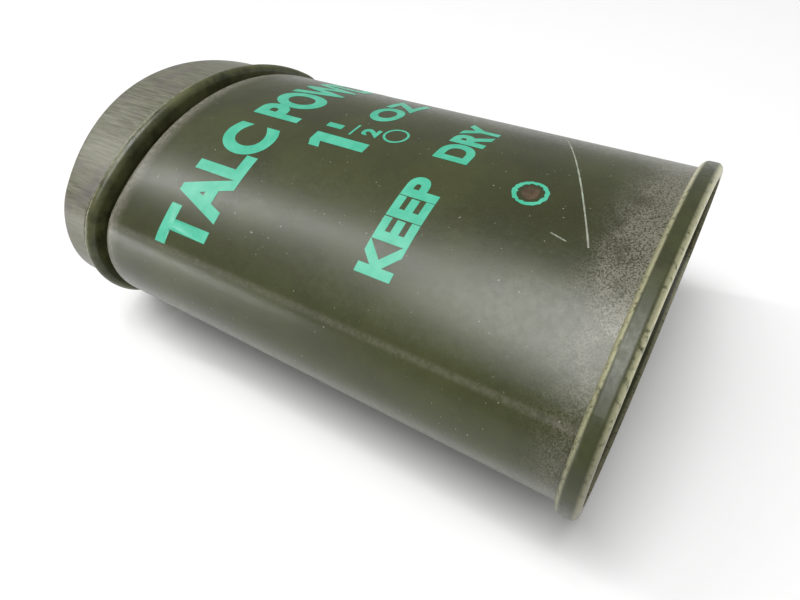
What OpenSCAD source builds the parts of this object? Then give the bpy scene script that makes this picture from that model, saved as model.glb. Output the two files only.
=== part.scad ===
// Oval push-on-cap powder tin with a turning sifter dial, lying on its back.
// Every piece is drawn standing up on its base and is laid down at the end:
// +X across the label, +Y from the base to the cap, +Z up out of the label.

/* [Body] */
// Width of the oval body
body_w = 50.8; // [42:0.1:62]
// Depth of the oval body, front to back
body_d = 29.2; // [24:0.1:36]
// Radius of the body's two narrow ends
end_r = 9.2; // [7:0.1:11]
// Height from the base to the cap's lower edge
body_h = 70.2; // [56:0.1:86]
// Thickness of the tinplate wall
wall_t = 0.3; // [0.25:0.05:0.5]
// Width of the folded side seam inside the wall
seam_w = 2.8; // [2:0.1:4]
// Width of the solder run beside the side seam
solder_w = 0.6; // [0.4:0.1:1]

/* [Base] */
// How far the base rim stands out from the body
rim_out = 1.0; // [0.8:0.1:1.6]
// Height of the base rim
rim_h = 2.4; // [2.2:0.1:3.5]
// Rounding of the base rim's outer corners
rim_r = 0.8; // [0.4:0.05:1]
// Depth of the base panel inside the rim
base_recess = 3.0; // [2.8:0.1:5]
// Thickness of the metal under the body wall, inside the rim
rim_floor = 0.5; // [0.3:0.05:1]

/* [Neck] */
// How far the body wall turns in under the cap
shoulder_in = 1.3; // [0.8:0.1:2]
// Width of the groove between the shoulder and the bead
groove_w = 1.2; // [0.8:0.1:2]
// Radius of the bead that stops the cap
bead_r = 0.9; // [0.7:0.05:1.2]
// How far the bead stands out from the body
bead_out = 1.0; // [0.6:0.1:1.4]
// Length of the collar inside the body, below the bead
collar_drop = 4.2; // [3.5:0.1:8]

/* [Cap] */
// How far the cap's skirt stands out from the body
cap_out = 0.15; // [0:0.05:0.3]
// Radial gap between the cap and the neck
cap_gap = 0.08; // [0.05:0.01:0.1]
// Gap between the bead and the cap's lower edge
cap_seat_gap = 0.2; // [0.1:0.05:0.4]
// Height of the cap's straight skirt at the narrow ends
cap_skirt = 3.0; // [2.4:0.1:6]
// How far the arched crown rises above the straight skirt
crown_rise = 7.8; // [6:0.1:10]
// Rounding of the crown at the narrow ends
crown_end_r = 3.5; // [2:0.1:4.5]
// Radius of the rolled hem round the cap's lower edge
hem_r = 0.3; // [0.2:0.05:0.4]

/* [Sifter] */
// Radius of the round boss on the cap
boss_r = 11.0; // [9:0.1:12]
// Height of the boss above the crown
boss_h = 3.6; // [3:0.1:6]
// Gap round the boss inside the dial
dial_gap = 0.15; // [0.1:0.05:0.3]
// Thickness of the dial's metal
dial_t = 0.4; // [0.3:0.05:0.8]
// Gap between the crown and the dial's skirt
dial_lift = 0.4; // [0.2:0.1:1]
// Rounding of the dial's top edge
dial_edge_r = 1.2; // [0.6:0.1:1.5]
// Radius of one sifter hole
hole_r = 0.9; // [0.5:0.05:1.2]
// Radius of the inner circle of holes
ring_1_r = 4.9; // [4.5:0.1:5.5]
// Radius of the outer circle of holes
ring_2_r = 8.4; // [8:0.1:9]
// Number of holes in each circle
hole_count = 6; // [4:1:8]
// Radius of the circle that the stop nib travels on
stop_r = 6.65; // [6.5:0.05:7]
// Radius of the stop nib
stop_nib_r = 0.45; // [0.3:0.05:0.6]

/* [Rivet] */
// Radius of the centre rivet's shank
rivet_r = 1.2; // [1:0.05:1.6]
// Radial gap between the shank and the dial
rivet_gap = 0.05; // [0.02:0.01:0.1]
// Radius of the rivet's head
rivet_head_r = 2.4; // [2:0.1:3]
// Height of the rivet's head
rivet_head_h = 0.7; // [0.4:0.1:1]
// Outer radius of the washer inside the cap
washer_r = 2.8; // [2.2:0.1:3.4]
// Thickness of the washer
washer_t = 0.4; // [0.3:0.1:0.8]

/* [Hidden] */

arc_fn = 96;            // facets on small rounds, where a mesh is drawn
wide_fn = 240;          // facets on the wide arcs
joint_gap = 0.02;       // gap between sheet metal pieces that are clinched together
cut = 1;                // how far a cutting shape runs past what it cuts
half_w = body_w / 2;
half_d = body_d / 2;

// The oval is four arcs: two end arcs and two wide arcs that run into them.
end_x = half_w - end_r;
wide_r = (end_x * end_x + half_d * half_d - end_r * end_r) / (2 * (half_d - end_r));
wide_c = wide_r - half_d;
meet_angle = atan2(wide_c, end_x);

seam_pad_t = 2 * wall_t;                 // folded metal inside the side seam
seam_gap = 0.8;                          // clear height at each end of the fold
bead_z = body_h - cap_seat_gap - bead_r; // middle of the bead
bead_x = bead_out - bead_r;
groove_top = bead_z - bead_r;
shoulder_top = groove_top - groove_w;    // where the wall has turned in
shoulder_z = shoulder_top - shoulder_in; // where it starts to turn
wall_top = groove_top - wall_t;
leg_out = -shoulder_in - wall_t - joint_gap;
leg_bottom = groove_top - collar_drop;
neck_out = cap_out - wall_t - cap_gap;
skirt_top = body_h + cap_skirt;          // where the narrow ends start to round over

// The crown is an arch that runs into a round corner at each narrow end. The
// corners stand edge_lift further out than the cap's side and corner_lift above
// the arch, so that they cross both cleanly where they would only touch them.
edge_lift = 0.15;
corner_lift = 0.05;
crown_z = skirt_top + crown_rise;
crown_x = half_w + cap_out + edge_lift - crown_end_r;
arch_end_r = crown_end_r - corner_lift;
crown_r = (crown_x * crown_x + crown_rise * crown_rise - arch_end_r * arch_end_r)
          / (2 * (crown_rise - arch_end_r));
crown_lean = atan2(crown_x, crown_r - crown_rise);
boss_top = crown_z + boss_h;
boss_foot = crown_z - crown_rise / 2;     // well below the crown's underside
dial_in_r = boss_r + dial_gap;
dial_r = dial_in_r + dial_t;
dial_in_edge_r = max(dial_edge_r - dial_t, 2 * dial_gap);
boss_edge_r = dial_in_edge_r - dial_gap;
boss_in_edge_r = max(boss_edge_r - wall_t, 0);
dial_z = boss_top + dial_gap;            // underside of the dial's top
dial_top = dial_z + dial_t;
rivet_gap_z = 0.1;                       // gap under the rivet's head
tin_h = dial_top + rivet_gap_z + rivet_head_h;
hole_pitch = 360 / hole_count;
open_turn = hole_pitch / 2;              // turn that brings the holes into line
stop_gap = 0.1;                          // gap round the nib in its slot
stop_slot_r = stop_nib_r + stop_gap;
stop_start = open_turn / 2;              // where the nib stands, from +X

lying_z = half_d + max(rim_out, bead_out);

// Lays a standing piece on its back, with its middle over the origin.
module lay() {
    translate([0, -tin_h / 2, lying_z]) rotate([-90, 0, 0]) children();
}

// The body's oval outline, made larger all round by grow.
module oval(grow = 0) {
    cut_x = end_x + (end_r + grow) * cos(meet_angle);
    intersection() {
        translate([0, -wide_c]) circle(wide_r + grow, $fn = wide_fn);
        translate([0, wide_c]) circle(wide_r + grow, $fn = wide_fn);
        square([2 * cut_x, 2 * (body_d + grow)], center = true);
    }
    for (side = [-1, 1]) translate([side * end_x, 0]) circle(end_r + grow, $fn = arc_fn);
}

// A straight oval block from z0 to z1.
module oval_block(grow, z0, z1) {
    translate([0, 0, z0]) linear_extrude(z1 - z0) oval(grow);
}

// Carries a filled profile round the oval. The profile's x is the distance out
// from the body's outline, and its y is the height.
module oval_turned(reach) {
    for (side = [0, 180]) rotate([0, 0, side]) {
        translate([end_x, 0, 0]) rotate_extrude($fn = arc_fn) intersection() {
            translate([end_r, 0]) children();
            translate([0, -cut]) square([end_r + 4 * rim_out, tin_h]);
        }
        translate([0, -wide_c, 0]) rotate([0, 0, meet_angle])
            rotate_extrude(angle = 180 - 2 * meet_angle, $fn = wide_fn)
                intersection() {
                    translate([wide_r, 0]) children();
                    translate([wide_r - half_d - cut / 2, -cut])
                        square([half_d + reach + cut, tin_h]);
                }
    }
}

// A profile filled from the middle out to x, from y0 to y1, with round outer corners.
module filled(x, y0, y1, low_r = 0, high_r = 0) {
    deep = body_w;
    translate([-deep, y0]) square([deep + x - max(low_r, high_r), y1 - y0]);
    translate([-deep, y0 + low_r]) square([deep + x, y1 - y0 - low_r - high_r]);
    if (low_r > 0) translate([x - low_r, y0 + low_r]) circle(low_r, $fn = arc_fn);
    if (high_r > 0) translate([x - high_r, y1 - high_r]) circle(high_r, $fn = arc_fn);
}

// The shoulder's turned-in outline, moved in by grow.
module shoulder_profile(grow) {
    round_r = shoulder_in;
    deep = body_w;
    translate([-deep, shoulder_z - cut]) square([deep + grow, cut]);
    translate([-deep, shoulder_z - cut]) square([deep - round_r, cut + round_r + grow]);
    translate([-round_r, shoulder_z]) circle(round_r + grow, $fn = arc_fn);
}

module body_wall() {
    color([0.33, 0.34, 0.22]) lay() {
        difference() {
            union() {
                oval_block(0, rim_floor, shoulder_z);
                oval_turned(0) shoulder_profile(0);
                oval_block(-shoulder_in, shoulder_z, wall_top);
            }
            oval_block(-wall_t, 0, shoulder_z);
            oval_turned(-wall_t) shoulder_profile(-wall_t);
            oval_block(-shoulder_in - wall_t, shoulder_z - cut, wall_top + cut);
        }
        seam_strip(0, seam_w);
    }
}

// A strip of metal inside the wall at the narrow end, starting start_y from its middle.
module seam_strip(start_y, width) {
    z0 = base_recess + wall_t + seam_gap;
    z1 = leg_bottom - seam_gap;
    lap = start_y == 0 ? wall_t / 2 : 0;
    intersection() {
        difference() {
            oval_block(lap - wall_t, z0, z1);
            oval_block(-wall_t - seam_pad_t, z0 - cut, z1 + cut);
        }
        translate([end_x, start_y == 0 ? -width / 2 : start_y, z0 - cut])
            cube([2 * end_r, width, z1 - z0 + 2 * cut]);
    }
}

module side_seam_solder() {
    color([0.62, 0.62, 0.6]) lay() seam_strip(seam_w / 2, solder_w);
}

module base_end() {
    channel_in = -wall_t - joint_gap;
    panel_top = base_recess + wall_t;
    color([0.42, 0.42, 0.38]) lay() difference() {
        union() {
            oval_turned(rim_out) filled(rim_out, 0, rim_h, rim_r, rim_r);
            oval_block(channel_in, rim_h - cut, panel_top);
        }
        difference() {
            oval_block(joint_gap, rim_floor - joint_gap, panel_top + cut);
            oval_block(channel_in, 0, panel_top);
        }
        oval_block(channel_in - wall_t, -cut, base_recess);
    }
}

module neck_collar() {
    color([0.36, 0.36, 0.26]) lay() difference() {
        union() {
            oval_block(leg_out, leg_bottom, bead_z);
            oval_turned(bead_out) bead_profile(bead_r);
            oval_block(neck_out, bead_z, skirt_top);
        }
        oval_block(leg_out - wall_t, leg_bottom - cut, skirt_top + cut);
        oval_turned(bead_out) bead_profile(bead_r - wall_t);
        oval_block(neck_out - wall_t, bead_z, skirt_top + cut);
    }
}

// The bead's half-round outline, filled to the middle.
module bead_profile(round_r) {
    deep = body_w;
    translate([-deep, bead_z - round_r]) square([deep + bead_x, 2 * round_r]);
    translate([bead_x, bead_z]) circle(round_r, $fn = arc_fn);
}

// The cap seen from the front, with its arched crown, made smaller all round by inset.
module crown_outline(inset) {
    round_r = crown_end_r - inset;
    side_x = crown_x + round_r;
    meet_x = crown_x + round_r * sin(crown_lean);
    intersection() {
        translate([0, crown_z - crown_r]) circle(crown_r - inset, $fn = wide_fn);
        translate([-meet_x, skirt_top - cut]) square([2 * meet_x, crown_rise + 2 * cut]);
    }
    for (side = [-1, 1]) translate([side * crown_x, skirt_top]) circle(round_r, $fn = arc_fn);
    translate([-side_x, body_h - cut]) square([2 * side_x, cap_skirt + cut]);
}

// The cap's outside, or its inside when inset is the wall's thickness.
module cap_form(inset) {
    foot = inset > 0 ? cut : 0;
    intersection() {
        oval_block(cap_out - inset, body_h - foot, crown_z + cut);
        rotate([90, 0, 0]) translate([0, 0, -body_d]) linear_extrude(2 * body_d)
            crown_outline(inset);
    }
}

module cap_shell() {
    boss_in_r = boss_r - wall_t;
    boss_in_top = boss_top - wall_t;
    color([0.45, 0.44, 0.37]) lay() {
        difference() {
            union() {
                cap_form(0);
                oval_turned(cap_out + hem_r) hem_profile();
                rotate_extrude($fn = arc_fn) lathed(boss_r, boss_foot, boss_top, boss_edge_r);
            }
            cap_form(wall_t);
            rotate_extrude($fn = arc_fn)
                lathed(boss_in_r, boss_foot - cut, boss_in_top, boss_in_edge_r);
            sifter_holes(open_turn, boss_in_top - cut);
            translate([0, 0, boss_in_top - cut])
                cylinder(wall_t + 2 * cut, r = rivet_r + joint_gap, $fn = arc_fn);
        }
        rotate([0, 0, stop_start]) translate([stop_r, 0, boss_top - wall_t / 2])
            cylinder(dial_gap + wall_t / 2 + dial_t / 2, r = stop_nib_r, $fn = arc_fn);
    }
}

// The hem's round edge, filled to the middle.
module hem_profile() {
    deep = body_w;
    translate([-deep, body_h]) square([deep + cap_out, 2 * hem_r]);
    translate([cap_out, body_h + hem_r]) circle(hem_r, $fn = arc_fn);
}

// The two circles of sifter holes, turned by angle and cut up from z0.
module sifter_holes(angle, z0) {
    for (i = [0 : hole_count - 1], ring_r = [ring_1_r, ring_2_r])
        rotate([0, 0, angle + i * hole_pitch]) translate([ring_r, 0, z0])
            cylinder(tin_h, r = hole_r, $fn = arc_fn);
}

// The curved slot that the stop nib runs in, open_turn long.
module stop_slot() {
    first = stop_start - open_turn;
    rotate([0, 0, first]) rotate_extrude(angle = open_turn, $fn = arc_fn)
        translate([stop_r - stop_slot_r, dial_z - cut]) square([2 * stop_slot_r, dial_t + 2 * cut]);
    for (angle = [first, stop_start]) rotate([0, 0, angle]) translate([stop_r, 0, dial_z - cut])
        cylinder(dial_t + 2 * cut, r = stop_slot_r, $fn = arc_fn);
}

module sifter_dial() {
    skirt_z = crown_z + dial_lift;
    color([0.46, 0.45, 0.38]) lay() difference() {
        rotate_extrude($fn = arc_fn) difference() {
            lathed(dial_r, skirt_z, dial_top, dial_edge_r);
            lathed(dial_in_r, skirt_z - cut, dial_z, dial_in_edge_r);
        }
        sifter_holes(0, dial_z - cut);
        stop_slot();
        translate([0, 0, dial_z - cut])
            cylinder(dial_t + 2 * cut, r = rivet_r + rivet_gap, $fn = arc_fn);
    }
}

// Half of a round piece's section, filled, with a round top corner.
module lathed(out_r, z0, z1, round_r) {
    translate([0, z0]) square([out_r, z1 - z0 - round_r]);
    translate([0, z0]) square([out_r - round_r, z1 - z0]);
    if (round_r > 0)
        translate([out_r - round_r, z1 - round_r]) circle(round_r, $fn = arc_fn);
}

module dial_rivet() {
    head_z = dial_top + rivet_gap_z;
    tail_z = boss_top - wall_t - washer_t - joint_gap;
    tail_r = (rivet_r + washer_r) / 2;
    tail_h = rivet_head_h / 2;
    color([0.6, 0.57, 0.45]) lay() union() {
        translate([0, 0, tail_z - tail_h]) cylinder(head_z - tail_z + 2 * tail_h, r = rivet_r, $fn = arc_fn);
        rivet_head(head_z, rivet_head_r, rivet_head_h);
        translate([0, 0, tail_z - tail_h - joint_gap]) cylinder(tail_h, r = tail_r, $fn = arc_fn);
    }
}

// A shallow domed head on a flat foot.
module rivet_head(z0, head_r, head_h) {
    ball_r = (head_r * head_r + head_h * head_h) / (2 * head_h);
    translate([0, 0, z0]) rotate_extrude($fn = arc_fn) intersection() {
        translate([0, head_h - ball_r]) circle(ball_r, $fn = wide_fn);
        square([head_r, head_h]);
    }
}

module rivet_washer() {
    color([0.6, 0.57, 0.45]) lay() translate([0, 0, boss_top - wall_t - washer_t - joint_gap / 2])
        difference() {
            cylinder(washer_t, r = washer_r, $fn = arc_fn);
            translate([0, 0, -cut]) cylinder(washer_t + 2 * cut, r = rivet_r + joint_gap, $fn = arc_fn);
        }
}

body_wall();
side_seam_solder();
base_end();
neck_collar();
cap_shell();
sifter_dial();
dial_rivet();
rivet_washer();
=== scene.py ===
import math
import bpy
from mathutils import Matrix, Vector


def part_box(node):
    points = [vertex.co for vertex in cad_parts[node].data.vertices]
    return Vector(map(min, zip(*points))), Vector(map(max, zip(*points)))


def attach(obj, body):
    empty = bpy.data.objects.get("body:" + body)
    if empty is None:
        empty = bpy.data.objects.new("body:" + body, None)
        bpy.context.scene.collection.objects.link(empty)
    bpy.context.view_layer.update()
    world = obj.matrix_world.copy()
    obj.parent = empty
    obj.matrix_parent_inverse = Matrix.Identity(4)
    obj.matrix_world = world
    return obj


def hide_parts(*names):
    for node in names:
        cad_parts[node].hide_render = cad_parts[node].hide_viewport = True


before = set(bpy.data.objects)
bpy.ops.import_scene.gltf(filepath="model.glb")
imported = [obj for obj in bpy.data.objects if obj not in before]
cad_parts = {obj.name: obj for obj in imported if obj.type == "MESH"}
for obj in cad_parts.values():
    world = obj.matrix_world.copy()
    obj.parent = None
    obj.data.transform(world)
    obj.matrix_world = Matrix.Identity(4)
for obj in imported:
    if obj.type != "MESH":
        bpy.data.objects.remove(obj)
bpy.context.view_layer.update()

# ---------------------------------------------------------------- sizes, in metres
MM = 0.001
END_X, END_R = 16.2 * MM, 9.2 * MM        # the oval's narrow end arcs
WIDE_R, WIDE_C = 36.2 * MM, 21.6 * MM     # the oval's wide arcs
AXIS_Z = 15.6 * MM                        # height of the tin's axis above the floor
BASE_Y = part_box("base_end")[0][1]         # where the base rim stands
MEET = math.atan2(WIDE_C, END_X)          # where a wide arc runs into an end arc
WALL = 0.3 * MM
CAP_OUT = 0.15 * MM
SHOULDER_UP, SHOULDER_IN = 65.7 * MM, 1.3 * MM
WALL_TOP_UP = 67.9 * MM
RIM_FLOOR_UP = 0.5 * MM
CAP_EDGE_UP, HEM_R = 70.2 * MM, 0.3 * MM
CROWN_UP, CREST_R = 81.0 * MM, 1.1 * MM
ARCH_R = 62.6 * MM
BOSS_R, BOSS_UP = 11.0 * MM, 84.6 * MM
HOLE_R, HOLE_RINGS, HOLE_COUNT = 0.9 * MM, (4.9 * MM, 8.4 * MM), 6
NIB_R, NIB_H, NIB_RING, NIB_AT = 0.45 * MM, 0.5 * MM, 6.65 * MM, math.radians(15)
END_STEPS, WIDE_STEPS = 40, 64
SAME_PLACE = 0.002 * MM                   # points closer than this are merged
LABEL_LIFT = 0.02 * MM
WRAP_STEP = 0.6 * MM                      # how often a flat piece is cut to follow the oval
GUIDE_END_STEPS, GUIDE_WIDE_STEPS = 60, 160
GUIDE_HALF = WIDE_R * (math.pi / 2 - MEET) + END_R * MEET
CAGE_POINTS = (41, 9, 2)                  # the cage that arches the crown, across, up and deep
CAGE_DEPTH = 32 * MM
CREST_RIGID = CREST_R + 0.6 * MM          # the height below the crest that moves as one
CROWN_CUTS = 9                            # rings of edges between the crown's edge and the boss
BOSS_EDGE_R, BOSS_EDGE_STEPS = 0.25 * MM, 3
NIB_EDGE_R = 0.08 * MM
DRILL_LENGTH = 3 * MM
DRILL_SIDES = 24
BLISTER_AT = (-3.45 * MM, -26.9 * MM)     # across and along the label, from its middle
PINHOLE_AT = (0.28 * MM, -7.6 * MM)
FLAG_FOOT, FLAG_OUT, FLAG_DROP = 0.80, 0.65, 0.07   # the figure one's flag, as shares of its stem

# wear, dust and a painted highlight line, as heights above the base or the axis
DUST_FROM, DUST_TO = 1.5 * MM, 12 * MM
# heights over which the pale band near the rim fades out towards the lower side
BAND_FADE_LOW_Z, BAND_FADE_HIGH_Z = 8 * MM, 13 * MM
# height of a pale line that is partly a painted highlight and partly light wear
WORN_AND_HIGHLIGHT_LINE_UP = 6.0 * MM
BEAD_MIDDLE_UP = 69.45 * MM


# ---------------------------------------------------------------- hand tools
def deselect():
    if bpy.context.object and bpy.context.object.mode == "EDIT":
        bpy.ops.object.mode_set(mode="OBJECT")
    bpy.ops.object.select_all(action="DESELECT")


def work_on(piece):
    deselect()
    piece.select_set(True)
    bpy.context.view_layer.objects.active = piece


def edit(piece, mode="VERT"):
    work_on(piece)
    bpy.ops.object.mode_set(mode="EDIT")
    bpy.ops.mesh.select_mode(type=mode)


def done():
    bpy.ops.object.mode_set(mode="OBJECT")


def pick(piece, wanted, kind="vertices"):
    """Selects the vertices, edges or faces that wanted() names, from edit mode."""
    done()
    for part in (piece.data.vertices, piece.data.edges, piece.data.polygons):
        part.foreach_set("select", [False] * len(part))
    for item in getattr(piece.data, kind):
        item.select = wanted(item)
    bpy.ops.object.mode_set(mode="EDIT")


def apply_all(piece):
    work_on(piece)
    for change in list(piece.modifiers):
        bpy.ops.object.modifier_apply(modifier=change.name)


def smooth(piece, angle=35):
    work_on(piece)
    bpy.ops.object.shade_smooth_by_angle(angle=math.radians(angle))


def spot(out, up):
    """A point of a profile where the sweep round the oval starts."""
    reach = END_R + out
    return Vector((END_X + reach * math.cos(MEET), BASE_Y + up, AXIS_Z - reach * math.sin(MEET)))


class Profile:
    """A section of sheet metal, drawn point by point and then swept round the oval."""

    def __init__(self, name, out, up):
        deselect()
        bpy.ops.mesh.primitive_plane_add(size=MM, location=spot(out, up))
        self.piece = bpy.context.object
        self.piece.name = self.piece.data.name = name
        bpy.ops.object.transform_apply(location=True, rotation=True, scale=True)
        edit(self.piece)
        bpy.ops.mesh.merge(type="CENTER")
        self.at = (out, up)
        self.across = Vector((math.sin(MEET), 0, math.cos(MEET)))

    def line(self, out, up, steps=1):
        move = (spot(out, up) - spot(*self.at)) / steps
        for _ in range(steps):
            bpy.ops.mesh.extrude_region_move(TRANSFORM_OT_translate={"value": move})
        self.at = (out, up)

    def turn(self, out, up, degrees, steps=6):
        """Turns about a centre, towards +up from +out where degrees is positive."""
        angle = math.radians(degrees)
        bpy.ops.mesh.spin(steps=steps, angle=-angle, center=spot(out, up), axis=self.across)
        dx, dy = self.at[0] - out, self.at[1] - up
        self.at = (out + dx * math.cos(angle) - dy * math.sin(angle),
                   up + dx * math.sin(angle) + dy * math.cos(angle))

    def sweep(self):
        bpy.ops.mesh.select_all(action="SELECT")
        bpy.ops.mesh.remove_doubles(threshold=SAME_PLACE)
        bpy.ops.mesh.select_all(action="SELECT")
        wide = math.pi - 2 * MEET
        for x, z, angle, steps in ((END_X, AXIS_Z, 2 * MEET, END_STEPS),
                                   (0, AXIS_Z - WIDE_C, wide, WIDE_STEPS),
                                   (-END_X, AXIS_Z, 2 * MEET, END_STEPS),
                                   (0, AXIS_Z + WIDE_C, wide, WIDE_STEPS)):
            bpy.ops.mesh.spin(steps=steps, angle=angle, center=(x, 0, z), axis=(0, 1, 0))
        bpy.ops.mesh.select_all(action="SELECT")
        bpy.ops.mesh.remove_doubles(threshold=SAME_PLACE)
        bpy.ops.mesh.select_all(action="SELECT")
        bpy.ops.mesh.normals_make_consistent(inside=False)
        done()
        return self.piece


# ---------------------------------------------------------------- the painted body
def make_painted_body():
    wall = Profile("painted_body", 0, RIM_FLOOR_UP)
    wall.line(0, SHOULDER_UP, steps=12)
    wall.turn(-SHOULDER_IN, SHOULDER_UP, 90, steps=10)
    wall.at = (-SHOULDER_IN, SHOULDER_UP + SHOULDER_IN)
    wall.line(-SHOULDER_IN, WALL_TOP_UP)
    wall.line(-SHOULDER_IN - WALL, WALL_TOP_UP)
    wall.line(-SHOULDER_IN - WALL, SHOULDER_UP + SHOULDER_IN - WALL)
    wall.line(-WALL, SHOULDER_UP)
    wall.line(-WALL, RIM_FLOOR_UP)
    wall.line(0, RIM_FLOOR_UP)
    return wall.sweep()


# ---------------------------------------------------------------- the pressed cap
def arch_drop(x):
    return ARCH_R - math.sqrt(ARCH_R ** 2 - x ** 2)


def make_pressed_cap():
    skirt = Profile("pressed_cap", CAP_OUT, CAP_EDGE_UP)
    skirt.line(CAP_OUT, CROWN_UP - CREST_R, steps=10)
    skirt.turn(CAP_OUT - CREST_R, CROWN_UP - CREST_R, 90, steps=10)
    cap = skirt.sweep()

    # the flat crown is bridged from the rounded edge to the boss's foot
    around = 2 * (END_STEPS + WIDE_STEPS)
    deselect()
    bpy.ops.mesh.primitive_circle_add(vertices=around, radius=BOSS_R, rotation=(math.pi / 2, 0, 0),
                                      location=(0, BASE_Y + CROWN_UP, AXIS_Z))
    bpy.ops.object.transform_apply(location=True, rotation=True, scale=True)
    cap.select_set(True)
    bpy.context.view_layer.objects.active = cap
    bpy.ops.object.join()
    edit(cap, "EDGE")
    top = BASE_Y + CROWN_UP - SAME_PLACE
    spots = [v.co.copy() for v in cap.data.vertices]
    pick(cap, lambda e: all(spots[i].y > top for i in e.vertices), "edges")
    bpy.ops.mesh.bridge_edge_loops(number_cuts=CROWN_CUTS, interpolation="LINEAR")
    done()

    # the crown is arched across the tin's width
    low, high = BASE_Y + CAP_EDGE_UP + 2 * HEM_R, BASE_Y + CROWN_UP
    deselect()
    bpy.ops.object.add(type="LATTICE", location=(0, (low + high) / 2, AXIS_Z))
    cage = bpy.context.object
    cage.data.points_u, cage.data.points_v, cage.data.points_w = CAGE_POINTS
    cage.data.interpolation_type_v = cage.data.interpolation_type_w = "KEY_LINEAR"
    size = Vector((2 * (END_X + END_R + CAP_OUT), high - low, CAGE_DEPTH))
    cage.scale = size
    rigid = CREST_RIGID / size.y
    for point in cage.data.points:
        x, level = point.co.x * size.x, point.co.y + 0.5
        share = min(1, level / (1 - rigid))
        point.co_deform.y -= arch_drop(x) * share / size.y
    bend = cap.modifiers.new("arch", "LATTICE")
    bend.object = cage
    apply_all(cap)
    deselect()
    cage.select_set(True)
    bpy.ops.object.delete()

    # the boss is drawn up from its foot, levelled and closed
    edit(cap)
    pick(cap, lambda v: abs(math.hypot(v.co.x, v.co.z - AXIS_Z) - BOSS_R) < 0.05 * MM
         and v.co.y > BASE_Y + CROWN_UP - 2 * MM)
    bpy.ops.mesh.extrude_region_move(TRANSFORM_OT_translate={"value": (0, BOSS_UP - CROWN_UP, 0)})
    bpy.ops.transform.resize(value=(1, 0, 1), center_override=(0, BASE_Y + BOSS_UP, AXIS_Z))
    bpy.ops.mesh.edge_face_add()
    bpy.ops.mesh.select_all(action="SELECT")
    bpy.ops.mesh.normals_make_consistent(inside=False)
    done()
    wall = cap.modifiers.new("wall", "SOLIDIFY")
    wall.thickness, wall.offset = WALL, -1
    rounding = cap.modifiers.new("boss_edge", "BEVEL")
    rounding.width, rounding.segments = BOSS_EDGE_R, BOSS_EDGE_STEPS
    rounding.limit_method, rounding.angle_limit = "ANGLE", math.radians(60)
    apply_all(cap)
    pierce(cap)
    return cap


def pierce(cap):
    """Drills the two rings of sifter holes through the boss, and sets the dial's stop nib."""
    deselect()
    drills = []
    for ring in HOLE_RINGS:
        for number in range(HOLE_COUNT):
            angle = 2 * math.pi * (number + 0.5) / HOLE_COUNT
            bpy.ops.mesh.primitive_cylinder_add(
                vertices=DRILL_SIDES, radius=HOLE_R, depth=DRILL_LENGTH, rotation=(math.pi / 2, 0, 0),
                location=(ring * math.cos(angle), BASE_Y + BOSS_UP, AXIS_Z + ring * math.sin(angle)))
            drills.append(bpy.context.object)
    for drill in drills:
        drill.select_set(True)
    bpy.ops.object.join()
    drill = bpy.context.object
    bpy.ops.object.transform_apply(location=True, rotation=True, scale=True)
    holes = cap.modifiers.new("holes", "BOOLEAN")
    holes.object, holes.operation, holes.solver = drill, "DIFFERENCE", "EXACT"
    apply_all(cap)
    deselect()
    drill.select_set(True)
    bpy.ops.object.delete()
    bpy.ops.mesh.primitive_cylinder_add(
        vertices=DRILL_SIDES, radius=NIB_R, depth=NIB_H, rotation=(math.pi / 2, 0, 0),
        location=(NIB_RING * math.cos(NIB_AT), BASE_Y + BOSS_UP + NIB_H / 2 - WALL / 2,
                  AXIS_Z - NIB_RING * math.sin(NIB_AT)))
    nib = bpy.context.object
    bpy.ops.object.transform_apply(location=True, rotation=True, scale=True)
    edit(nib, "EDGE")
    bpy.ops.mesh.bevel(offset=NIB_EDGE_R, segments=2)
    done()
    work_on(cap)
    nib.select_set(True)
    bpy.ops.object.join()


def make_rolled_hem():
    hem = Profile("rolled_hem", CAP_OUT + HEM_R, CAP_EDGE_UP + HEM_R)
    hem.turn(CAP_OUT, CAP_EDGE_UP + HEM_R, 360, steps=16)
    return hem.sweep()


# ---------------------------------------------------------------- the printed label
def make_guide():
    """The oval's outline over the label, from the left side to the right."""
    deselect()
    bpy.ops.mesh.primitive_plane_add(size=MM, location=(-END_X - END_R, 0, AXIS_Z))
    guide = bpy.context.object
    bpy.ops.object.transform_apply(location=True, rotation=True, scale=True)
    edit(guide)
    bpy.ops.mesh.merge(type="CENTER")
    for x, z, angle, steps in ((-END_X, AXIS_Z, MEET, GUIDE_END_STEPS),
                               (0, AXIS_Z - WIDE_C, math.pi - 2 * MEET, GUIDE_WIDE_STEPS),
                               (END_X, AXIS_Z, MEET, GUIDE_END_STEPS)):
        bpy.ops.mesh.spin(steps=steps, angle=angle, center=(x, 0, z), axis=(0, -1, 0))
    done()
    bpy.ops.object.convert(target="CURVE")
    guide = bpy.context.object
    guide.data.dimensions, guide.data.twist_mode = "3D", "Z_UP"
    return guide


def lay_on_body(piece, guide, lift=LABEL_LIFT):
    """Bends a flat piece round the oval. Its x is the way round from the label's middle."""
    edit(piece)
    reach = [v.co.x for v in piece.data.vertices]
    along = min(reach)
    while along < max(reach):
        bpy.ops.mesh.select_all(action="SELECT")
        bpy.ops.mesh.bisect(plane_co=(along, 0, 0), plane_no=(1, 0, 0))
        along += WRAP_STEP
    bpy.ops.mesh.select_all(action="SELECT")
    bpy.ops.transform.translate(value=(GUIDE_HALF, 0, lift))
    done()
    wrap = piece.modifiers.new("wrap", "CURVE")
    wrap.object, wrap.deform_axis = guide, "POS_X"
    apply_all(piece)


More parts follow.
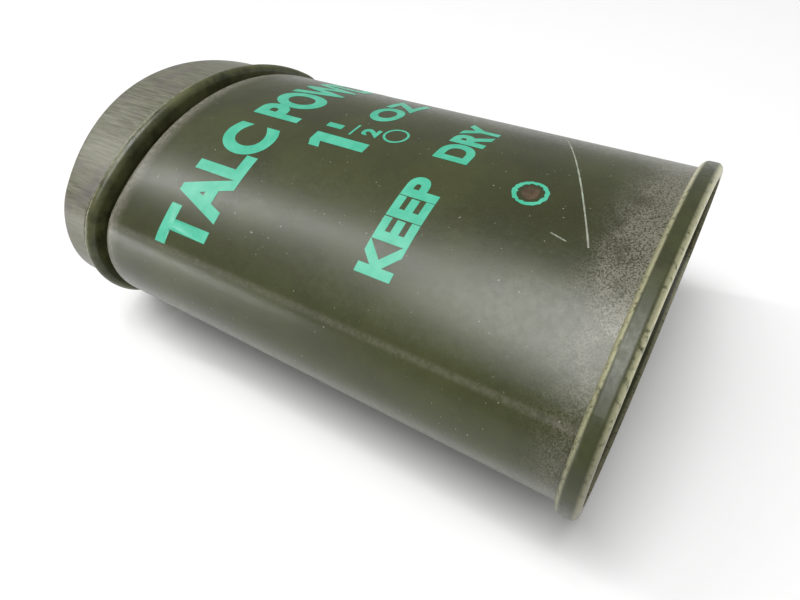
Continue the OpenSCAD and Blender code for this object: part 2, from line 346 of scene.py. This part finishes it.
def lettering(name, words, left, width, foot, height, guide, bold=0.045):
    """Flat printed words, set to a width and height and laid on the body."""
    deselect()
    bpy.ops.object.text_add()
    text = bpy.context.object
    text.data.body, text.data.size, text.data.offset = words, 1, bold
    text.data.resolution_u = 8
    bpy.ops.object.convert(target="MESH")
    piece = bpy.context.object
    piece.name = piece.data.name = name
    xs = [v.co.x for v in piece.data.vertices]
    ys = [v.co.y for v in piece.data.vertices]
    scale = Vector((width / (max(xs) - min(xs)), height / (max(ys) - min(ys)), 1))
    piece.scale = scale
    piece.location = (left - min(xs) * scale.x, foot - min(ys) * scale.y, 0)
    bpy.ops.object.transform_apply(location=True, rotation=True, scale=True)
    lay_on_body(piece, guide)
    return piece


def flat_strip(name, left, width, foot, height):
    """A flat rectangle, ready to be laid on the body."""
    deselect()
    bpy.ops.mesh.primitive_plane_add(size=1, location=(left + width / 2, foot + height / 2, 0))
    piece = bpy.context.object
    piece.name = piece.data.name = name
    piece.scale = (width, height, 1)
    bpy.ops.object.transform_apply(location=True, rotation=True, scale=True)
    return piece


def number_one(name, left, width, foot, height, guide):
    """A plain figure one: a stem with a short flag drawn out of its upper left side."""
    piece = flat_strip(name, left, width, foot, height)
    edit(piece, "EDGE")
    flag_foot = foot + FLAG_FOOT * height
    bpy.ops.mesh.bisect(plane_co=(0, flag_foot, 0), plane_no=(0, 1, 0))
    done()
    spots = [v.co.copy() for v in piece.data.vertices]
    pick(piece, lambda e: all(spots[i].x < left + 0.1 * width and spots[i].y > flag_foot - SAME_PLACE
                              for i in e.vertices), "edges")
    bpy.ops.mesh.extrude_region_move(
        TRANSFORM_OT_translate={"value": (-FLAG_OUT * width, -FLAG_DROP * height, 0)})
    done()
    lay_on_body(piece, guide)
    return piece


def ink_ring(name, middle, outer, thick, uneven, seed, guide):
    """A ring of ink round a pinhole blister, a little ragged."""
    deselect()
    bpy.ops.mesh.primitive_circle_add(vertices=40, radius=outer, fill_type="NGON",
                                      location=(middle[0], middle[1], 0))
    piece = bpy.context.object
    piece.name = piece.data.name = name
    bpy.ops.object.transform_apply(location=True, rotation=True, scale=True)
    edit(piece, "FACE")
    bpy.ops.mesh.select_all(action="SELECT")
    bpy.ops.mesh.inset(thickness=thick)
    bpy.ops.mesh.delete(type="FACE")
    bpy.ops.mesh.select_all(action="SELECT")
    bpy.ops.transform.vertex_random(offset=uneven, seed=seed)
    bpy.ops.transform.resize(value=(1, 1, 0), center_override=(0, 0, 0))
    done()
    lay_on_body(piece, guide)
    return piece


def worn_spot(name, middle, radius, uneven, seed, guide):
    """A small ragged patch where the enamel has blistered off."""
    deselect()
    bpy.ops.mesh.primitive_circle_add(vertices=28, radius=radius, fill_type="NGON",
                                      location=(middle[0], middle[1], 0))
    piece = bpy.context.object
    piece.name = piece.data.name = name
    bpy.ops.object.transform_apply(location=True, rotation=True, scale=True)
    edit(piece)
    bpy.ops.mesh.select_all(action="SELECT")
    bpy.ops.transform.vertex_random(offset=uneven, seed=seed)
    bpy.ops.transform.resize(value=(1, 0.8, 0), center_override=(middle[0], middle[1], 0))
    done()
    lay_on_body(piece, guide, LABEL_LIFT / 2)
    return piece


def scratch(name, start, end, width, uneven, seed, guide):
    """A long thin scratch in the enamel, from one place round the label to another."""
    across, along = end[0] - start[0], end[1] - start[1]
    piece = flat_strip(name, 0, math.hypot(across, along), -width / 2, width)
    edit(piece)
    bpy.ops.mesh.select_all(action="SELECT")
    bpy.ops.mesh.subdivide(number_cuts=24)
    bpy.ops.transform.vertex_random(offset=uneven, seed=seed)
    bpy.ops.transform.resize(value=(1, 1, 0), center_override=(0, 0, 0))
    done()
    piece.rotation_euler = (0, 0, math.atan2(along, across))
    piece.location = (start[0], start[1], 0)
    work_on(piece)
    bpy.ops.object.transform_apply(location=True, rotation=True, scale=True)
    lay_on_body(piece, guide, LABEL_LIFT / 2)
    return piece


# ---------------------------------------------------------------- finishes
class Finish:
    """A material built up from patterns on the tin's own coordinates."""

    def __init__(self, name):
        self.material = bpy.data.materials.new(name)
        self.material.use_nodes = True
        self.tree = self.material.node_tree
        self.shader = self.tree.nodes["Principled BSDF"]
        self.place = self.add("ShaderNodeTexCoord").outputs["Object"]

    def add(self, kind, **values):
        node = self.tree.nodes.new(kind)
        for key, value in values.items():
            setattr(node, key, value)
        return node

    def link(self, value, socket):
        if isinstance(value, bpy.types.NodeSocket):
            self.tree.links.new(value, socket)
        else:
            socket.default_value = value

    def stretched(self, scale):
        node = self.add("ShaderNodeMapping")
        self.link(self.place, node.inputs["Vector"])
        node.inputs["Scale"].default_value = scale
        return node.outputs["Vector"]

    def grain(self, size, detail=4, rough=0.6, stretch=(1, 1, 1)):
        """Cloudy noise whose patches are about size across, in metres."""
        node = self.add("ShaderNodeTexNoise")
        self.link(self.stretched(stretch), node.inputs["Vector"])
        node.inputs["Scale"].default_value = 1 / size
        node.inputs["Detail"].default_value = detail
        node.inputs["Roughness"].default_value = rough
        return node.outputs["Fac"]

    def between(self, value, low, high, start=0.0, end=1.0):
        """Runs from start to end as value goes from low to high, and stays there."""
        node = self.add("ShaderNodeMapRange", interpolation_type="SMOOTHSTEP")
        self.link(value, node.inputs["Value"])
        for key, number in (("From Min", low), ("From Max", high), ("To Min", start), ("To Max", end)):
            self.link(number, node.inputs[key])
        return node.outputs["Result"]

    def sums(self, what, a, b=0.0):
        node = self.add("ShaderNodeMath", operation=what)
        self.link(a, node.inputs[0])
        self.link(b, node.inputs[1])
        return node.outputs["Value"]

    def mix(self, share, under, over):
        node = self.add("ShaderNodeMix", data_type="RGBA")
        self.link(share, node.inputs[0])
        self.link(under, node.inputs[6])
        self.link(over, node.inputs[7])
        return node.outputs[2]

    def along(self, axis):
        node = self.add("ShaderNodeSeparateXYZ")
        self.link(self.place, node.inputs["Vector"])
        return node.outputs[axis]

    def finish(self, colour, rough, metal=0.0, height=None, depth=0.02 * MM):
        self.link(colour, self.shader.inputs["Base Color"])
        self.link(rough, self.shader.inputs["Roughness"])
        self.link(metal, self.shader.inputs["Metallic"])
        if height is not None:
            bump = self.add("ShaderNodeBump")
            bump.inputs["Distance"].default_value = depth
            bump.inputs["Strength"].default_value = 1
            self.link(height, bump.inputs["Height"])
            self.link(bump.outputs["Normal"], self.shader.inputs["Normal"])
        return self.material


OLIVE = (0.044, 0.050, 0.012, 1)
OLIVE_DARK = (0.026, 0.029, 0.007, 1)
OLIVE_GREY = (0.090, 0.098, 0.035, 1)
DUST = (0.26, 0.245, 0.205, 1)
INK = (0.045, 0.40, 0.25, 1)
INK_PALE = (0.08, 0.47, 0.31, 1)
CAP_BROWN = (0.105, 0.105, 0.066, 1)
CAP_GREY = (0.195, 0.195, 0.145, 1)
CAP_VIOLET = (0.120, 0.104, 0.105, 1)
BARE_METAL = (0.62, 0.60, 0.38, 1)
TINNED = (0.55, 0.52, 0.42, 1)
BASE_LILAC = (0.30, 0.28, 0.30, 1)
RUST = (0.16, 0.115, 0.075, 1)
SCRATCH = (0.36, 0.44, 0.33, 1)


def enamel(name):
    """Satin olive enamel, dusty beside the base rim and rubbed pale on the shoulder."""
    f = Finish(name)
    cloud = f.between(f.grain(14 * MM, 5, 0.6), 0.3, 0.7)
    colour = f.mix(cloud, OLIVE_DARK, OLIVE)
    fine = f.grain(0.22 * MM, 3, 0.7)
    colour = f.mix(f.between(fine, 0.52, 0.75, 0.0, 0.30), colour, OLIVE_GREY)
    y = f.along("Y")
    patch = f.grain(3.5 * MM, 6, 0.7)
    near = f.between(y, BASE_Y + DUST_FROM, BASE_Y + DUST_TO, 1.05, 0.0)
    near = f.sums("MULTIPLY", f.sums("MULTIPLY", near, near), f.between(patch, 0.3, 0.7, 0.4, 1.9))
    speck = f.grain(0.20 * MM, 4, 0.8)
    film = f.sums("MULTIPLY", near, f.between(speck, 0.42, 0.58))
    # the pale band fades to about a fifth towards the lower side, so the lower side stays darker
    upper = f.between(f.along("Z"), AXIS_Z + BAND_FADE_LOW_Z, AXIS_Z + BAND_FADE_HIGH_Z, 0.22, 1.0)
    film = f.sums("MULTIPLY", film, upper)
    colour = f.mix(f.sums("MINIMUM", film, 0.6), colour, DUST)
    rubbed = f.between(y, BASE_Y + SHOULDER_UP - 2.2 * MM, BASE_Y + SHOULDER_UP + 0.9 * MM)
    streak = f.between(f.grain(0.5 * MM, 4, 0.7), 0.3, 0.7, 0.25, 0.9)
    colour = f.mix(f.sums("MULTIPLY", rubbed, streak), colour, DUST)
    # a pale line along the left side: partly a painted highlight, the floor's bright reflection painted into
    # the colour, and partly light wear
    edge = f.sums("ABSOLUTE", f.sums("SUBTRACT", f.along("Z"), AXIS_Z + WORN_AND_HIGHLIGHT_LINE_UP))
    worn = f.sums("MULTIPLY", f.between(edge, 0.05 * MM, 0.5 * MM, 0.24, 0.0), streak)
    left = f.between(f.along("X"), -END_X, -END_X + 2 * MM, 1.0, 0.0)
    colour = f.mix(f.sums("MULTIPLY", worn, left), colour, DUST)
    flecks = f.between(f.grain(0.42 * MM, 2, 0.5), 0.735, 0.765)
    colour = f.mix(flecks, colour, DUST)
    rough = f.between(f.grain(0.8 * MM, 5, 0.6), 0.3, 0.7, 0.28, 0.34)
    return f.finish(colour, rough, height=f.grain(0.35 * MM, 2, 0.5), depth=0.0035 * MM)


def printing_ink():
    """Satin turquoise ink, thin enough in specks for the enamel to show."""
    f = Finish("turquoise_ink")
    colour = f.mix(f.between(f.grain(2.5 * MM, 4, 0.6), 0.3, 0.7), INK, INK_PALE)
    thin = f.between(f.grain(0.16 * MM, 3, 0.7), 0.62, 0.72)
    colour = f.mix(f.sums("MULTIPLY", thin, 0.6), colour, OLIVE)
    rough = f.between(f.grain(0.8 * MM, 4, 0.6), 0.3, 0.7, 0.32, 0.44)
    return f.finish(colour, rough, height=f.grain(0.4 * MM, 3, 0.5), depth=0.006 * MM)


def rim_enamel():
    """Olive enamel on the base, rubbed to bare metal along the rim's edges."""
    f = Finish("rim_enamel")
    y = f.along("Y")
    colour = f.mix(f.between(f.grain(3 * MM, 5, 0.6), 0.3, 0.8), OLIVE_DARK, OLIVE)
    chip = f.grain(0.7 * MM, 5, 0.7)
    foot = f.between(y, BASE_Y + 0.15 * MM, BASE_Y + 0.65 * MM, 1.0, 0.0)
    top = f.between(y, BASE_Y + 1.80 * MM, BASE_Y + 2.15 * MM)
    worn_down = f.between(f.along("Z"), AXIS_Z + 4 * MM, AXIS_Z + 13 * MM, 0.35, 1.0)
    edge = f.sums("MULTIPLY", f.sums("MAXIMUM", foot, top), f.between(chip, 0.30, 0.52))
    edge = f.sums("MULTIPLY", edge, worn_down)
    colour = f.mix(edge, colour, BARE_METAL)
    inside = f.between(y, BASE_Y + 2.8 * MM, BASE_Y + 2.95 * MM)
    colour = f.mix(f.sums("MULTIPLY", inside, 0.8), colour, BASE_LILAC)
    rough = f.between(chip, 0.3, 0.7, 0.30, 0.45)
    return f.finish(colour, rough, f.sums("MULTIPLY", edge, 0.8), f.grain(0.5 * MM, 3, 0.55), 0.008 * MM)


def neck_enamel():
    """Olive enamel on the neck, with a bare line rubbed along the bead."""
    f = Finish("neck_enamel")
    y = f.along("Y")
    colour = f.mix(f.between(f.grain(3 * MM, 5, 0.6), 0.3, 0.7), OLIVE_DARK, OLIVE_GREY)
    chip = f.grain(0.8 * MM, 5, 0.7)
    middle = f.sums("ABSOLUTE", f.sums("SUBTRACT", y, BASE_Y + BEAD_MIDDLE_UP))
    worn = f.sums("MULTIPLY", f.between(middle, 0.05 * MM, 0.32 * MM, 1.0, 0.0), f.between(chip, 0.42, 0.62))
    colour = f.mix(f.sums("MULTIPLY", worn, 0.8), colour, BARE_METAL)
    rough = f.between(chip, 0.3, 0.7, 0.26, 0.42)
    return f.finish(colour, rough, f.sums("MULTIPLY", worn, 0.6), f.grain(0.5 * MM, 3, 0.55), 0.006 * MM)


def cap_lacquer(name, axis_streaks=True):
    """Grey-olive lacquer over drawn metal, with fine streaks along the skirt."""
    f = Finish(name)
    stretch = (1, 0.08, 1) if axis_streaks else (1, 1, 1)
    streak = f.between(f.grain(0.35 * MM, 4, 0.65, stretch), 0.3, 0.7)
    colour = f.mix(streak, CAP_BROWN, CAP_GREY)
    cloud = f.between(f.grain(5 * MM, 4, 0.6), 0.45, 0.7, 0.0, 0.6)
    colour = f.mix(cloud, colour, CAP_VIOLET)
    flecks = f.between(f.grain(0.5 * MM, 3, 0.6), 0.68, 0.74, 0.0, 0.5)
    colour = f.mix(flecks, colour, DUST)
    rough = f.between(streak, 0, 1, 0.34, 0.46)
    return f.finish(colour, rough, 0.15, f.grain(0.5 * MM, 3, 0.55, stretch), 0.003 * MM)


def dull_metal(name, tint, rough_low, rough_high):
    f = Finish(name)
    stain = f.between(f.grain(1.6 * MM, 5, 0.65), 0.3, 0.7)
    colour = f.mix(stain, tint, tuple(0.55 * c for c in tint[:3]) + (1,))
    rough = f.between(f.grain(0.3 * MM, 4, 0.6), 0.3, 0.7, rough_low, rough_high)
    return f.finish(colour, rough, 0.85, f.grain(0.25 * MM, 3, 0.6), 0.006 * MM)


def scratched_enamel():
    """Enamel scored down to a pale powdery line."""
    f = Finish("scratched_enamel")
    broken = f.between(f.grain(0.4 * MM, 4, 0.7), 0.35, 0.6)
    colour = f.mix(broken, SCRATCH, DUST)
    return f.finish(colour, f.between(broken, 0, 1, 0.45, 0.6), height=broken, depth=0.01 * MM)


def dress(piece, material):
    piece.data.materials.clear()
    piece.data.materials.append(material)


def dress_node(name, material):
    for number in range(len(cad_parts[name].material_slots)):
        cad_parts[name].material_slots[number].material = material


# ---------------------------------------------------------------- make the pieces
body = make_painted_body()
smooth(body)
dress(body, enamel("olive_enamel"))
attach(body, "can")
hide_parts("body_wall")

cap = make_pressed_cap()
smooth(cap)
lacquer = cap_lacquer("cap_lacquer")
dress(cap, lacquer)
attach(cap, "cap")
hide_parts("cap_shell")

hem = make_rolled_hem()
smooth(hem)
dress(hem, lacquer)
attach(hem, "cap")

guide = make_guide()
ink = printing_ink()
# piece name, words, left, width, foot and height, in mm from the label's middle
label = (
    ("label_title_first", "TALC", -24.9, 20.0, 6.2, 8.0),
    ("label_title_second", "POWDER", -2.6, 27.6, 6.0, 7.8),
    ("label_weight_over", "1", -1.4, 1.0, -0.3, 2.4),
    ("label_weight_under", "2", -1.3, 1.8, -5.5, 2.4),
    ("label_weight_unit", "OZ.", 2.7, 11.0, -5.1, 4.3),
    ("label_care_first", "KEEP", -19.3, 13.6, -18.4, 4.5),
    ("label_care_second", "DRY", -1.8, 11.0, -18.4, 4.5),
)
printed = [lettering(name, words, left * MM, width * MM, foot * MM, height * MM, guide)
           for name, words, left, width, foot, height in label]
printed.append(number_one("label_weight_whole", -4.6 * MM, 1.7 * MM, -5.8 * MM, 8.0 * MM, guide))
bar = flat_strip("label_weight_bar", -2.0 * MM, 2.6 * MM, -2.15 * MM, 0.3 * MM)
lay_on_body(bar, guide)
printed.append(bar)
printed.append(ink_ring("ink_ring_large", BLISTER_AT, 2.0 * MM, 0.5 * MM, 0.16 * MM, 3, guide))
printed.append(ink_ring("ink_ring_small", PINHOLE_AT, 1.68 * MM, 0.32 * MM, 0.04 * MM, 5, guide))
for piece in printed:
    dress(piece, ink)
    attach(piece, "can")
blister = worn_spot("worn_blister", BLISTER_AT, 1.15 * MM, 0.22 * MM, 8, guide)
dress(blister, dull_metal("blister_rust", RUST, 0.45, 0.6))
scratches = (
    scratch("scratch_long", (-8.45 * MM, -35.0 * MM), (13.2 * MM, -25.0 * MM),
            0.16 * MM, 0.03 * MM, 11, guide),
    scratch("scratch_short", (-8.5 * MM, -32.8 * MM), (-8.0 * MM, -31.0 * MM),
            0.14 * MM, 0.03 * MM, 12, guide))
pale = scratched_enamel()
for piece in scratches:
    dress(piece, pale)
for piece in (blister,) + scratches:
    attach(piece, "can")
deselect()
guide.select_set(True)
bpy.ops.object.delete()

dress_node("base_end", rim_enamel())
dress_node("neck_collar", neck_enamel())
dress_node("sifter_dial", cap_lacquer("dial_lacquer", axis_streaks=False))
dress_node("dial_rivet", dull_metal("rivet_metal", TINNED, 0.25, 0.40))
dress_node("rivet_washer", dull_metal("washer_metal", TINNED, 0.30, 0.45))
dress_node("side_seam_solder", dull_metal("seam_solder", TINNED, 0.40, 0.55))


# ---------------------------------------------------------------- floor, light and camera
deselect()
bpy.ops.mesh.primitive_plane_add(size=4, location=(0, 0, -0.02 * MM))
floor = bpy.context.object
floor.name = "studio_floor"
f = Finish("studio_white")
dress(floor, f.finish((0.88, 0.88, 0.88, 1), 0.35))

world = bpy.data.worlds.new("studio")
world.use_nodes = True
world.node_tree.nodes["Background"].inputs["Color"].default_value = (1, 1, 1, 1)
world.node_tree.nodes["Background"].inputs["Strength"].default_value = 0.40
bpy.context.scene.world = world


def softbox(name, direction, distance, size, power, colour=(1, 1, 1)):
    light = bpy.data.lights.new(name, "AREA")
    light.shape, light.size, light.size_y = "RECTANGLE", size[0], size[1]
    light.energy, light.color = power, colour
    lamp = bpy.data.objects.new(name, light)
    bpy.context.collection.objects.link(lamp)
    way = Vector(direction).normalized()
    lamp.location = Vector((0, 0, AXIS_Z)) + way * distance
    lamp.rotation_euler = way.to_track_quat("Z", "Y").to_euler()


softbox("window", (-0.12, 0.64, 0.765), 0.9, (0.05, 0.55), 1.9)
softbox("low_window", (-0.69, 0.72, 0.10), 0.9, (0.4, 0.10), 1.1)
softbox("overhead", (-0.22, 0.10, 0.97), 1.4, (0.8, 0.8), 16)

camera = bpy.data.objects.new("camera", bpy.data.cameras.new("camera"))
bpy.context.collection.objects.link(camera)
camera.data.lens, camera.data.sensor_width, camera.data.clip_start = 25.74, 36, MM
right, up, ahead = (Vector((0.5371, -0.8418, -0.0543)), Vector((0.6047, 0.3393, 0.7205)),
                    Vector((0.5881, 0.4199, -0.6913)))
turn = Matrix((right, up, -ahead)).transposed().to_4x4()
camera.matrix_world = Matrix.Translation((-53.18 * MM, -44.47 * MM, 64.37 * MM)) @ turn
bpy.context.scene.camera = camera
bpy.context.scene.view_settings.view_transform = "Standard"

bpy.context.view_layer.update()
